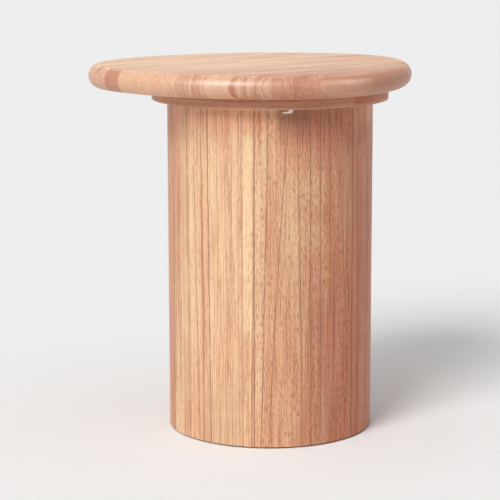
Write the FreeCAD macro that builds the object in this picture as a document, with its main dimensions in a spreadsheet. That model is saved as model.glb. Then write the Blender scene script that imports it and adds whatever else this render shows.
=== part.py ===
"""Accent table: a pebble-shaped slab of edge-glued staves on a veneered drum.

Millimetres, +Z up, +Y away from the viewer. The origin lies on the floor, under the middle of
the slab's outline. The drum stands off-centre under the slab.
"""

import FreeCAD
import Part
import Sketcher
import math
import os
import re

FULL_TURN = 360
UP = FreeCAD.Vector(0, 0, 1)

SIZES = {
    # Slab outline: three round lobes, each centre and radius, joined by three flatter sides
    "left_lobe_x": -92.5,
    "left_lobe_y": 0.3,
    "left_lobe_radius": 143.5,
    "front_lobe_x": 59.3,
    "front_lobe_y": -60.3,
    "front_lobe_radius": 145.2,
    "back_lobe_x": 87.7,
    "back_lobe_y": 51.6,
    "back_lobe_radius": 146.9,
    "front_side_radius": 300.6,
    "right_side_radius": 293.0,
    "back_side_radius": 303.7,
    # Slab section and the run of its grain from +X towards +Y
    "slab_thickness": 33.6,
    "rim_flat": 1.0,
    "grain_angle": 33.0,
    # Sub-top: how far it stands out past the drum, its band, and where the band's strips meet
    "subtop_overhang": 22.4,
    "subtop_thickness": 16.0,
    "band_thickness": 0.8,
    "band_seam_angle": -47.0,
    # Drum: place of its axis, radius over the veneer, shell and veneer
    "drum_x": 28.2,
    "drum_y": -6.3,
    "drum_radius": 150.0,
    "drum_height": 485.0,
    "veneer_thickness": 0.8,
    "veneer_seam_angle": -98.6,
    "shell_wall": 10.0,
    "glue_line": 0.1,
    # Formers and battens inside the drum
    "former_width": 24.0,
    "former_thickness": 18.0,
    "bottom_thickness": 15.0,
    "batten_width": 30.0,
    "batten_depth": 20.0,
    "batten_angle": 45.0,
    # Ring under the sub-top that drops into the top former
    "locating_width": 30.0,
    "locating_thickness": 12.0,
    "locating_clearance": 0.5,
    # Pads under the drum
    "pad_radius": 9.0,
    "pad_height": 2.0,
    "pad_inset": 12.0,
    # Countersunk screws
    "screw_radius": 2.0,
    "screw_head_radius": 4.0,
    "screw_head_height": 2.4,
    "screw_clearance": 0.15,
    "slab_screw_circle": 62.0,
    "slab_screw_bite": 20.0,
    "ring_screw_bite": 10.0,
    # Clips that hold the sub-top down on the drum
    "clip_angle": -81.0,
    "clip_drop": 4.0,
    "clip_thickness": 2.0,
    "clip_width": 13.2,
    "clip_ear_width": 6.6,
    "clip_ear_length": 10.5,
    "clip_standoff": 4.0,
    "clip_bend": 1.0,
    "clip_clearance": 0.5,
    "kerf_depth": 6.0,
    # Round-headed screws of the clips
    "clip_screw_radius": 1.6,
    "clip_screw_head_radius": 3.0,
    "clip_screw_head_height": 2.2,
    "clip_screw_crown": 0.9,
    "clip_screw_bite": 11.0,
    # How far every cutting shape runs past what it cuts
    "cut_overrun": 2.0,
}

# Joints between the staves, as shares of the slab's width across its grain, from the far side
STAVE_JOINT_SHARES = (
    0.079, 0.152, 0.225, 0.299, 0.371, 0.443, 0.521, 0.596, 0.675, 0.756, 0.823, 0.893, 0.957,
)

VENEER_LEAF_COUNT = 6
BAND_STRIP_COUNT = 2
BATTEN_COUNT = 4
PAD_COUNT = 6
SLAB_SCREW_COUNT = 4
RING_SCREW_COUNT = 4
CLIP_COUNT = 3

# Levels, from the floor up
DRUM_FOOT = "pad_height"
DRUM_MOUTH = "(pad_height + drum_height)"
SLAB_UNDERSIDE = "(pad_height + drum_height + subtop_thickness)"

# Radii about the drum's axis
SHELL_OUTSIDE = "(drum_radius - veneer_thickness - glue_line)"
SHELL_INSIDE = "(drum_radius - veneer_thickness - glue_line - shell_wall)"
FORMER_OUTSIDE = f"({SHELL_INSIDE} - glue_line)"
FORMER_INSIDE = f"({FORMER_OUTSIDE} - former_width)"
BAND_OUTSIDE = "(drum_radius + subtop_overhang)"
BAND_INSIDE = f"({BAND_OUTSIDE} - band_thickness)"
SUBTOP_OUTSIDE = f"({BAND_INSIDE} - glue_line)"
LOCATING_OUTSIDE = f"({FORMER_INSIDE} - locating_clearance)"

doc = FreeCAD.newDocument("accent_table")
sheet = doc.addObject("Spreadsheet::Sheet", "sizes")
for row, (alias, value) in enumerate(SIZES.items(), start=1):
    sheet.set(f"A{row}", alias.replace("_", " "))
    sheet.set(f"B{row}", str(value))
    sheet.setAlias(f"B{row}", alias)
doc.recompute()

pieces = []


def bind(obj, path, formula):
    """Ties a property to a formula of the named sizes."""
    obj.setExpression(path, re.sub(r"\b[a-z]+(?:_[a-z]+)+\b", r"sizes.\g<0>", formula))


def seat(obj, angle="0", radial="0", across="0", level="0"):
    """Places an object in the drum's frame: turned about its axis, then out, across and up."""
    bind(
        obj,
        "Placement",
        f"placement(vector(drum_x; drum_y; 0); rotation(vector(0; 0; 1); {angle}))"
        f" * placement(vector({radial}; {across}; {level}); rotation(vector(0; 0; 1); 0))",
    )


def piece(obj, label):
    """Gives a finished sub-part its name and puts it on the list to be written."""
    obj.Label = label
    pieces.append(obj)
    return obj


def cylinder(name, radius, height, angle=FULL_TURN):
    """An upright cylinder or sector from its foot."""
    obj = doc.addObject("Part::Cylinder", name)
    bind(obj, "Radius", radius)
    bind(obj, "Height", height)
    obj.Angle = angle
    return obj


def box(name, length, width, height):
    """An upright box from its corner."""
    obj = doc.addObject("Part::Box", name)
    bind(obj, "Length", length)
    bind(obj, "Width", width)
    bind(obj, "Height", height)
    return obj


def combine(kind, name, base, tool):
    """A Cut, Fuse or Common of two objects."""
    obj = doc.addObject(f"Part::{kind}", name)
    obj.Base = base
    obj.Tool = tool
    return obj


def group(name, members):
    """Several separate solids under one name."""
    obj = doc.addObject("Part::Compound", name)
    obj.Links = members
    return obj


def spaced(start, count, index):
    """Formula for one of several angles spaced evenly round the drum."""
    return f"{start} + {FULL_TURN * index / count}"


def plan_sketch(body, role, name):
    """A sketch on one of the body's own planes."""
    sketch = body.newObject("Sketcher::SketchObject", name)
    for feature in body.Origin.OriginFeatures:
        if feature.Role == role:
            sketch.AttachmentSupport = (feature, [""])
    sketch.MapMode = "FlatFace"
    return sketch


def dimension(sketch, name, formula, *constraint):
    """Adds a named dimension and ties it to a formula."""
    index = sketch.addConstraint(Sketcher.Constraint(*constraint))
    sketch.renameConstraint(index, name)
    bind(sketch, f"Constraints.{name}", formula)


def disc(name, thickness, outside, inside=None):
    """A disc or ring body about its own upright axis, padded from its plan."""
    body = doc.addObject("PartDesign::Body", name)
    plan = plan_sketch(body, "XY_Plane", f"{name}_plan")
    for index, radius in enumerate([outside, inside] if inside else [outside]):
        guess = SIZES["drum_radius"] / (index + 1)
        plan.addGeometry(Part.Circle(FreeCAD.Vector(), UP, guess))
        plan.addConstraint(Sketcher.Constraint("Coincident", index, 3, -1, 1))
        dimension(plan, f"radius_{index}", radius, "Radius", index, guess)
    pad = body.newObject("PartDesign::Pad", f"{name}_pad")
    pad.Profile = plan
    bind(pad, "Length", thickness)
    return body


def curved_strip(name, outside, inside, height, angle):
    """An upright strip bent to a sector of a thin ring."""
    outer = cylinder(f"{name}_outer", outside, height, angle)
    hollow = cylinder(f"{name}_hollow", inside, height)
    return combine("Cut", name, outer, hollow)


def side_centre(first, second, radius):
    """Centre of the large arc that touches two lobes from outside, on their inner side."""
    (ax, ay, ar), (bx, by, br) = first, second
    to_first = radius - ar
    to_second = radius - br
    span = math.hypot(bx - ax, by - ay)
    along = (to_first**2 - to_second**2 + span**2) / (2 * span)
    away = math.sqrt(to_first**2 - along**2)
    ux, uy = (bx - ax) / span, (by - ay) / span
    return ax + along * ux - away * uy, ay + along * uy + away * ux


def slab_outline(sketch):
    """Six tangent arcs, counterclockwise: a lobe, then the side that leads to the next lobe."""
    lobes = ("left", "front", "back")
    sides = ("front", "right", "back")
    lobe = [tuple(SIZES[f"{n}_lobe_{k}"] for k in ("x", "y", "radius")) for n in lobes]
    radii = [SIZES[f"{n}_side_radius"] for n in sides]
    centres = [side_centre(lobe[i], lobe[(i + 1) % 3], radii[i]) for i in range(3)]

    def bearing(origin, centre):
        return math.atan2(centre[1] - origin[1], centre[0] - origin[0])

    for i in range(3):
        x, y, radius = lobe[i]
        start = bearing(centres[i - 1], lobe[i])
        end = bearing(centres[i], lobe[i])
        circle = Part.Circle(FreeCAD.Vector(x, y, 0), UP, radius)
        sketch.addGeometry(Part.ArcOfCircle(circle, start, end))
        next_end = bearing(centres[i], lobe[(i + 1) % 3])
        circle = Part.Circle(FreeCAD.Vector(*centres[i], 0), UP, radii[i])
        sketch.addGeometry(Part.ArcOfCircle(circle, end, next_end))
    for i in range(6):
        sketch.addConstraint(Sketcher.Constraint("Tangent", i, 2, (i + 1) % 6, 1))
    for i, (name, side) in enumerate(zip(lobes, sides)):
        x, y, radius = lobe[i]
        dimension(sketch, f"{name}_x", f"{name}_lobe_x", "DistanceX", -1, 1, 2 * i, 3, x)
        dimension(sketch, f"{name}_y", f"{name}_lobe_y", "DistanceY", -1, 1, 2 * i, 3, y)
        dimension(sketch, f"{name}_radius", f"{name}_lobe_radius", "Radius", 2 * i, radius)
        dimension(sketch, f"{side}_side", f"{side}_side_radius", "Radius", 2 * i + 1, radii[i])


def countersunk(name, length, grow="0"):
    """A countersunk screw standing on its head, or the drilling for it, larger all round."""
    head = doc.addObject("Part::Cone", f"{name}_head")
    bind(head, "Radius1", f"screw_head_radius + {grow}")
    bind(head, "Radius2", f"screw_radius + {grow}")
    bind(head, "Height", "screw_head_height")
    shank = cylinder(f"{name}_shank", f"screw_radius + {grow}", f"{length} + {grow}")
    return combine("Fuse", name, head, shank)


def screw_set(name, count, circle, start, length, level, grow="0"):
    """Countersunk screws, or their drillings, evenly spaced on a circle about the drum's axis."""
    members = []
    for i in range(count):
        screw = countersunk(f"{name}_{i + 1}", length, grow)
        seat(screw, spaced(start, count, i), circle, "0", level)
        members.append(screw)
    return group(name, members)


# Screws and their drillings
slab_screw = (SLAB_SCREW_COUNT, "slab_screw_circle", "grain_angle", "(subtop_thickness + slab_screw_bite)")
piece(screw_set("slab_screws", *slab_screw, DRUM_MOUTH), "top_screws")
slab_drilling = screw_set("slab_drilling", *slab_screw, DRUM_MOUTH, "screw_clearance")

ring_screw = (
    RING_SCREW_COUNT,
    f"({LOCATING_OUTSIDE} - locating_width / 2)",
    "0",
    "(locating_thickness + ring_screw_bite)",
    f"({DRUM_MOUTH} - locating_thickness)",
)
piece(screw_set("ring_screw_set", *ring_screw), "ring_screws")
ring_drilling = screw_set("ring_drilling", *ring_screw, "screw_clearance")

EAR_MIDDLE = "(drum_radius + clip_standoff + clip_thickness + (clip_ear_length - clip_thickness) / 2)"
EAR_ACROSS = "(clip_width / 2 - clip_ear_width / 2)"
clip_screws = []
clip_holes = []
for i in range(CLIP_COUNT):
    angle = spaced("clip_angle", CLIP_COUNT, i)
    under_ear = f"({DRUM_MOUTH} - clip_thickness)"
    head = cylinder(f"clip_head_{i + 1}", "clip_screw_head_radius", "clip_screw_head_height")
    seat(head, angle, EAR_MIDDLE, EAR_ACROSS, f"({under_ear} - clip_screw_head_height)")
    doc.recompute()
    crown = doc.addObject("Part::Chamfer", f"clip_crown_{i + 1}")
    crown.Base = head
    lowest = [
        number
        for number, edge in enumerate(head.Shape.Edges, start=1)
        if edge.BoundBox.ZMax < head.Shape.CenterOfMass.z
    ]
    crown.Edges = [(n, SIZES["clip_screw_crown"], SIZES["clip_screw_crown"]) for n in lowest]
    shank = cylinder(f"clip_shank_{i + 1}", "clip_screw_radius", "clip_thickness + clip_screw_bite")
    seat(shank, angle, EAR_MIDDLE, EAR_ACROSS, under_ear)
    clip_screws.append(combine("Fuse", f"clip_screw_{i + 1}", crown, shank))
    hole = cylinder(
        f"clip_hole_{i + 1}",
        "clip_screw_radius + screw_clearance",
        "clip_thickness + clip_screw_bite + screw_clearance + cut_overrun",
    )
    seat(hole, angle, EAR_MIDDLE, EAR_ACROSS, f"({under_ear} - cut_overrun)")
    clip_holes.append(hole)
piece(group("clip_screw_set", clip_screws), "clip_screws")
clip_drilling = group("clip_drilling", clip_holes)

# Slab: the rounded blank, drilled, then sawn into staves along the grain
slab = doc.addObject("PartDesign::Body", "slab")
bind(slab, "Placement", f"placement(vector(0; 0; {SLAB_UNDERSIDE}); rotation(vector(0; 0; 1); 0))")
outline = plan_sketch(slab, "XY_Plane", "slab_outline")
slab_outline(outline)
slab_pad = slab.newObject("PartDesign::Pad", "slab_pad")
slab_pad.Profile = outline
bind(slab_pad, "Length", "slab_thickness")
doc.recompute()
flat_faces = [
    f"Face{number}"
    for number, face in enumerate(slab_pad.Shape.Faces, start=1)
    if abs(face.normalAt(0, 0).z) > math.cos(math.pi / 4)
]
rim = slab.newObject("PartDesign::Fillet", "slab_rim")
rim.Base = (slab_pad, flat_faces)
bind(rim, "Radius", "(slab_thickness - rim_flat) / 2")
slab.Tip = rim
drilled_slab = combine("Cut", "drilled_slab", slab, slab_drilling)

ACROSS_GRAIN = "({0}_lobe_y * cos(grain_angle) - {0}_lobe_x * sin(grain_angle))"
FAR_SIDE = f"({ACROSS_GRAIN.format('left')} + left_lobe_radius)"
NEAR_SIDE = f"({ACROSS_GRAIN.format('front')} - front_lobe_radius)"
SLAB_WIDTH = f"({FAR_SIDE} - {NEAR_SIDE})"
STOCK_HALF_LENGTH = "(left_lobe_radius + back_lobe_radius)"
# The outermost staves run on past the width between the lobes, out to the slab's edge
edges = (-STAVE_JOINT_SHARES[0], *STAVE_JOINT_SHARES, 1 + STAVE_JOINT_SHARES[0])
for i, (near, far) in enumerate(zip(edges[1:], edges[:-1]), start=1):
    stock = box(
        f"stave_stock_{i}",
        f"2 * {STOCK_HALF_LENGTH}",
        f"{near - far:.3f} * {SLAB_WIDTH}",
        "slab_thickness + 2 * cut_overrun",
    )
    bind(
        stock,
        "Placement",
        "placement(vector(0; 0; 0); rotation(vector(0; 0; 1); grain_angle))"
        f" * placement(vector(-{STOCK_HALF_LENGTH}; {FAR_SIDE} - {near:.3f} * {SLAB_WIDTH};"
        f" {SLAB_UNDERSIDE} - cut_overrun); rotation(vector(0; 0; 1); 0))",
    )
    piece(combine("Common", f"stave_{i:02d}", drilled_slab, stock), f"top_stave_{i:02d}")

# Sub-top and its edge band
subtop_blank = disc("subtop_blank", "subtop_thickness", SUBTOP_OUTSIDE)
seat(subtop_blank, "0", "0", "0", DRUM_MOUTH)
subtop_holes = group("subtop_holes", [slab_drilling, ring_drilling, clip_drilling])
piece(combine("Cut", "subtop", subtop_blank, subtop_holes), "subtop_disc")
for i in range(BAND_STRIP_COUNT):
    band = curved_strip(
        f"band_{i + 1}",
        BAND_OUTSIDE,
        BAND_INSIDE,
        "subtop_thickness",
        FULL_TURN / BAND_STRIP_COUNT,
    )
    seat(band, spaced("band_seam_angle", BAND_STRIP_COUNT, i), "0", "0", DRUM_MOUTH)
    piece(band, f"subtop_band_{'ab'[i]}")

# Locating ring under the sub-top
ring_blank = disc(
    "locating_blank",
    "locating_thickness",
    LOCATING_OUTSIDE,
    f"{LOCATING_OUTSIDE} - locating_width",
)
seat(ring_blank, "0", "0", "0", f"{DRUM_MOUTH} - locating_thickness")
piece(combine("Cut", "locating", ring_blank, ring_drilling), "locating_ring")

# Drum: shell and veneer, both kerfed for the clips' tongues
kerfs = []
for i in range(CLIP_COUNT):
    kerf = box(
        f"kerf_{i + 1}",
        "kerf_depth + cut_overrun",
        "clip_width + 2 * clip_clearance",
        "clip_thickness + clip_clearance",
    )
    seat(
        kerf,
        spaced("clip_angle", CLIP_COUNT, i),
        "(drum_radius - kerf_depth)",
        "-(clip_width / 2 + clip_clearance)",
        f"({DRUM_MOUTH} - clip_drop - clip_thickness - clip_clearance)",
    )
    kerfs.append(kerf)
kerf_set = group("kerf_set", kerfs)

shell_blank = disc("shell_blank", "drum_height", SHELL_OUTSIDE, SHELL_INSIDE)
seat(shell_blank, "0", "0", "0", DRUM_FOOT)
piece(combine("Cut", "shell", shell_blank, kerf_set), "drum_shell")
for i in range(VENEER_LEAF_COUNT):
    leaf = curved_strip(
        f"leaf_blank_{i + 1}",
        "drum_radius",
        "drum_radius - veneer_thickness",
        "drum_height",
        FULL_TURN / VENEER_LEAF_COUNT,
    )
    seat(leaf, spaced("veneer_seam_angle", VENEER_LEAF_COUNT, i), "0", "0", DRUM_FOOT)
    piece(combine("Cut", f"leaf_{i + 1}", leaf, kerf_set), f"drum_veneer_leaf_{i + 1}")

# Formers inside the shell
bottom = disc("bottom", "bottom_thickness", FORMER_OUTSIDE)
seat(bottom, "0", "0", "0", DRUM_FOOT)
piece(bottom, "drum_bottom_panel")
BATTEN_FOOT = f"({DRUM_FOOT} + bottom_thickness)"
TOP_RING_FOOT = f"({DRUM_MOUTH} - former_thickness)"
BATTEN_LENGTH = f"(({TOP_RING_FOOT} - {BATTEN_FOOT} - former_thickness) / 2)"
MIDDLE_RING_FOOT = f"({BATTEN_FOOT} + {BATTEN_LENGTH})"
for name, foot in (("middle", MIDDLE_RING_FOOT), ("top", TOP_RING_FOOT)):
    ring = disc(f"{name}_former", "former_thickness", FORMER_OUTSIDE, FORMER_INSIDE)
    seat(ring, "0", "0", "0", foot)
    piece(ring, f"drum_{name}_ring")

# Battens between the formers, their outer faces rounded to the shell
for name, foot in (("lower", BATTEN_FOOT), ("upper", f"({MIDDLE_RING_FOOT} + former_thickness)")):
    for i in range(BATTEN_COUNT):
        stick = box(
            f"{name}_stick_{i + 1}",
            "batten_depth + cut_overrun",
            "batten_width",
            BATTEN_LENGTH,
        )
        seat(
            stick,
            spaced("batten_angle", BATTEN_COUNT, i),
            f"{FORMER_OUTSIDE} - batten_depth",
            "-batten_width / 2",
            foot,
        )
        rounding = cylinder(f"{name}_rounding_{i + 1}", FORMER_OUTSIDE, BATTEN_LENGTH)
        seat(rounding, "0", "0", "0", foot)
        batten = combine("Common", f"{name}_stock_{i + 1}", stick, rounding)
        piece(batten, f"{name}_batten_{i + 1}")

# Pads under the drum
pads = []
for i in range(PAD_COUNT):
    pad = cylinder(f"pad_{i + 1}", "pad_radius", "pad_height")
    seat(pad, spaced("veneer_seam_angle", PAD_COUNT, i), "(drum_radius - pad_inset)", "0", "0")
    pads.append(pad)
piece(group("pad_set", pads), "foot_pads")

# Clips: bent strip with an ear under the sub-top, a web down, and a tongue into the kerf
TIP = "drum_radius - kerf_depth + clip_clearance"
WEB = "drum_radius + clip_standoff"
TONGUE_FACE = "-clip_drop"
TONGUE_BACK = "-(clip_drop + clip_thickness)"


def corner_outline(sketch, corners):
    """A closed outline through corners given as formulas, each dimensioned from the origin."""
    count = len(corners)
    guesses = [
        FreeCAD.Vector(
            SIZES["drum_radius"] * math.cos(2 * math.pi * i / count),
            SIZES["drum_radius"] * math.sin(2 * math.pi * i / count),
            0,
        )
        for i in range(count)
    ]
    for i in range(count):
        sketch.addGeometry(Part.LineSegment(guesses[i], guesses[(i + 1) % count]))
    for i in range(count):
        sketch.addConstraint(Sketcher.Constraint("Coincident", i, 2, (i + 1) % count, 1))
    for i, (across, up) in enumerate(corners):
        dimension(sketch, f"across_{i}", across, "DistanceX", -1, 1, i, 1, guesses[i].x)
        if up == "0":
            sketch.addConstraint(Sketcher.Constraint("PointOnObject", i, 1, -1))
        else:
            dimension(sketch, f"up_{i}", up, "DistanceY", -1, 1, i, 1, guesses[i].y)


for i in range(CLIP_COUNT):
    body = doc.addObject("PartDesign::Body", f"clip_blank_{i + 1}")
    side = plan_sketch(body, "XZ_Plane", f"clip_side_{i + 1}")
    corner_outline(
        side,
        [
            (TIP, TONGUE_FACE),
            (WEB, TONGUE_FACE),
            (WEB, "0"),
            (f"{WEB} + clip_ear_length", "0"),
            (f"{WEB} + clip_ear_length", "-clip_thickness"),
            (f"{WEB} + clip_thickness", "-clip_thickness"),
            (f"{WEB} + clip_thickness", TONGUE_BACK),
            (TIP, TONGUE_BACK),
        ],
    )
    bent = body.newObject("PartDesign::Pad", f"clip_bent_{i + 1}")
    bent.Profile = side
    bent.Reversed = True
    bind(bent, "Length", "clip_ear_width")
    flat = plan_sketch(body, "XZ_Plane", f"clip_flat_{i + 1}")
    corner_outline(
        flat,
        [
            (TIP, TONGUE_FACE),
            (f"{WEB} + clip_thickness", TONGUE_FACE),
            (f"{WEB} + clip_thickness", TONGUE_BACK),
            (TIP, TONGUE_BACK),
        ],
    )
    tongue = body.newObject("PartDesign::Pad", f"clip_tongue_{i + 1}")
    tongue.Profile = flat
    bind(tongue, "Length", "clip_width - clip_ear_width")
    doc.recompute()
    bends = [
        f"Edge{number}"
        for number, edge in enumerate(tongue.Shape.Edges, start=1)
        if abs(edge.tangentAt(edge.FirstParameter).y) > math.cos(math.pi / 4)
        and (
            edge.BoundBox.ZMax > -SIZES["clip_thickness"] / 2
            and edge.BoundBox.XMax < SIZES["drum_radius"] + SIZES["clip_standoff"] * 2
        )
    ]
    bend = body.newObject("PartDesign::Fillet", f"clip_bend_{i + 1}")
    bend.Base = (tongue, bends)
    bind(bend, "Radius", "clip_bend")
    body.Tip = bend
    seat(
        body,
        spaced("clip_angle", CLIP_COUNT, i),
        "0",
        "clip_width / 2 - clip_ear_width",
        DRUM_MOUTH,
    )
    piece(combine("Cut", f"clip_{i + 1}", body, clip_drilling), f"table_clip_{i + 1}")

doc.recompute()

for obj in doc.Objects:
    if "Invalid" in obj.State or "Error" in obj.State:
        raise RuntimeError(f"{obj.Name} could not be built: {obj.State}")
for obj in pieces:
    if obj.Shape.isNull() or not obj.Shape.isValid() or not obj.Shape.Solids:
        raise RuntimeError(f"{obj.Label} has no sound solid")

os.makedirs("parts", exist_ok=True)
for obj in pieces:
    obj.Shape.exportStep(os.path.join("parts", f"{obj.Label}.step"))
slab_volume = drilled_slab.Shape.Volume
stave_volume = sum(obj.Shape.Volume for obj in pieces if obj.Label.startswith("top_stave"))
print(f"{len(pieces)} sub-parts; staves fill {stave_volume / slab_volume:.6f} of the slab")
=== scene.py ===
"""Looks of the accent table: a slab of glued staves on a veneered drum.

Metres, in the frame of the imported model: +Z up, +Y away from the viewer.
"""

import math

import bpy
from mathutils import Matrix, Vector


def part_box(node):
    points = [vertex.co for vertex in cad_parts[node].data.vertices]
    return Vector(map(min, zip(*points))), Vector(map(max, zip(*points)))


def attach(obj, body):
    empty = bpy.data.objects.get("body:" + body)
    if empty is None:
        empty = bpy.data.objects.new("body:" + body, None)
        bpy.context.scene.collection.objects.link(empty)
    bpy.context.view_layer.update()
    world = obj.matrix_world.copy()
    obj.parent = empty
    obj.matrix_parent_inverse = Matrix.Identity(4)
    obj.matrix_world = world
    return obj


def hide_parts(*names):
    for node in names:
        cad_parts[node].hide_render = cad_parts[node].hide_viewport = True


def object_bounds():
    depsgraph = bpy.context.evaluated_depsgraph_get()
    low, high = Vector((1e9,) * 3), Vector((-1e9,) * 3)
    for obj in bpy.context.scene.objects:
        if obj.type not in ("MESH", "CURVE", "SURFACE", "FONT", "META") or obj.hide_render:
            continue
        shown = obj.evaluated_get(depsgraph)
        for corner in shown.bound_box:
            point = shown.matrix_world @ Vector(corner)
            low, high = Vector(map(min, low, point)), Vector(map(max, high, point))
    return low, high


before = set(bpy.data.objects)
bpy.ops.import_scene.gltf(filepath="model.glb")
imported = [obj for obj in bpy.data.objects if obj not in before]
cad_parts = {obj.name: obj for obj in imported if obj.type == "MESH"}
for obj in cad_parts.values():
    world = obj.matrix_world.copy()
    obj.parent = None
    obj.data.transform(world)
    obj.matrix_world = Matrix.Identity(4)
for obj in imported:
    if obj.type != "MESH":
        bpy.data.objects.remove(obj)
cad_box = [list(corner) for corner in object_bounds()]

bl_info = {
    "name": "Accent table looks",
    "version": (1, 0, 0),
    "blender": (4, 5, 0),
    "location": "View3D > Sidebar > Accent Table",
    "description": "Finishes, small fittings and stage of a slab-topped drum table",
    "category": "Object",
}

# A millimetre, and the distance below which two heights or places count as one
MM = 0.001
TOUCHING = 1e-5

SHELL_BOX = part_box("drum_shell")
DRUM_AXIS = (SHELL_BOX[0] + SHELL_BOX[1]) / 2
DRUM_RADIUS = (SHELL_BOX[1].x - SHELL_BOX[0].x) / 2
DRUM_MIDDLE = DRUM_AXIS.z
SLAB_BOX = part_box("top_stave_08")
SLAB_REACH = cad_box[1][0]
SUBTOP_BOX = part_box("subtop_disc")

# First seam of the drum's veneer and of the sub-top's band, in degrees from +X towards +Y
VENEER_SEAM = -98.6
LEAF_SPAN = 60.0
BAND_SEAM = -47.0
BAND_SPAN = 180.0

# Two plies of the drum's shell together, one along and one across
PLY_PAIR = 0.0028

# Parts that have the plain board's finish
BOARDS = (
    "subtop_disc",
    "locating_ring",
    "drum_top_ring",
    "drum_middle_ring",
    "drum_bottom_panel",
    *(f"{level}_batten_{number}" for level in ("lower", "upper") for number in range(1, 5)),
)

# Clips round the drum's mouth, from the front one, with rounded corners and eased edges
CLIP_BEARING = -81.0
CLIP_COUNT = 3
CLIP_THICKNESS = 0.002
CLIP_CORNER = 0.002
CLIP_EDGE = 0.00035

# Screws of the clips: distance from the drum's axis and beside the bearing, then their sizes
SCREW_REACH = 0.16025
SCREW_ACROSS = 0.0033
HEAD_RADIUS = 0.003
HEAD_HEIGHT = 0.0022
HEAD_CROWN = 0.0011
SHANK_RADIUS = 0.0016
SHANK_LENGTH = 0.011
TIP_INSET = 0.0009
TIP_LENGTH = 0.002
RECESS_LENGTH = 0.0036
RECESS_WIDTH = 0.0006
RECESS_DEPTH = 0.0012

# Pads under the drum's foot: how far in from its face they stand, and their sizes
PAD_COUNT = 6
PAD_INSET = 0.012
PAD_RADIUS = 0.009
PAD_EDGE = 0.0007

# Lacquer over the wood, tint of an open pore, and painted light along the band's lower edge
LACQUER_ROUGHNESS = 0.36
PORE_SHADE = (0.70, 0.52, 0.44)
PAINTED_EDGE_LIGHT = (0.72, 0.42, 0.29)

# Each stave: tone, pith across its middle and above its underside in mm, ring width in mm,
# strength of its rings
STAVES = (
    (0.30, 40, -70, 8.0, 0.5),
    (0.42, -30, -60, 7.0, 0.5),
    (0.26, 60, -45, 9.0, 0.4),
    (0.38, -15, -90, 7.5, 0.5),
    (0.34, 25, -18, 8.0, 0.6),
    (0.82, 5, -120, 7.0, 0.30),
    (0.14, -45, -30, 9.0, 0.25),
    (0.16, 60, -35, 10.0, 0.25),
    (0.20, -34, -22, 7.0, 0.25),
    (0.60, 36, -40, 7.5, 0.25),
    (0.04, 75, -50, 10.0, 0.3),
    (0.48, -14, 16, 9.0, 0.8),
    (0.58, 62, -60, 8.0, 0.45),
    (0.66, 30, -160, 8.5, 0.15),
)

# Growth marks on the rim, dark, or pale where the strength is negative: stave, share of its
# half width, lean in mm per mm, half width and softness in mm, strength, and the heights above
# the slab's middle between which it runs, in mm
RIM_MARKS = (
    (5, 1.46, -1.06, 1.5, 1.5, 1.0, 5, 17.5),
    (5, -0.1, 0.5, 0.4, 0.9, 0.4, -14, 14),
    (6, 0.0, 0.0, 14.0, 4.0, 0.35, -30, 30),
    (9, -0.5, 0.7, 0.4, 1.0, 0.28, -14, 16),
    (9, 0.15, 0.8, 0.4, 1.0, 0.24, -14, 16),
    (9, 0.6, -0.7, 0.4, 1.0, 0.12, -14, 16),
    (10, -0.15, -0.1, 1.0, 1.2, -0.6, -30, 30),
    (10, -0.30, 0.1, 0.4, 0.8, 0.5, -16, 18),
    (10, -0.60, 0.3, 0.6, 1.0, 0.5, 2, 18),
    (10, -0.96, 0.0, 1.2, 0.6, -0.7, -30, 30),
    (12, 0.85, 0.0, 3.0, 2.0, 0.7, -30, 30),
    (12, 0.35, 0.1, 1.6, 2.5, -0.42, -12, 12),
    (12, -0.18, -0.1, 2.0, 2.0, -0.34, -14, 12),
    (12, 0.1, 0.0, 1.0, 2.0, 0.4, -30, 30),
    (12, -0.66, 0.0, 0.4, 1.0, 0.45, -30, 30),
    (12, -0.92, 0.0, 0.7, 0.6, -0.6, -30, 30),
    (13, 0.76, 0.0, 2.2, 1.5, -0.60, -30, 30),
    (13, -0.80, 0.0, 2.0, 2.0, 0.4, -30, 30),
    (14, -0.95, 0.1, 4.5, 3.0, -0.40, -15, 10),
)
# Bow of those marks, in metres per square metre
RIM_BOW = 15.0

# Streaks of the slab's flat face: place across them in mm, strength (dark, or pale where it is
# negative), and the places along the grain between which it runs, in mm
TOP_STREAKS = (
    (-122, 0.35, -130, 20),
    (-93, -0.30, -100, 110),
    (-60, 0.32, -120, 170),
    (-32, 0.32, -110, 130),
    (-11, -0.30, -110, 70),
    (22, -0.28, -110, 90),
    (40, 0.38, -10, 120),
    (74, 0.30, 20, 200),
)
# How much the streaks and the broad grain lean from the run of the staves, and the line on the
# face beyond which it is redder, in mm
RUN_OUT = 0.21
RED_EDGE = -160

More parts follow.
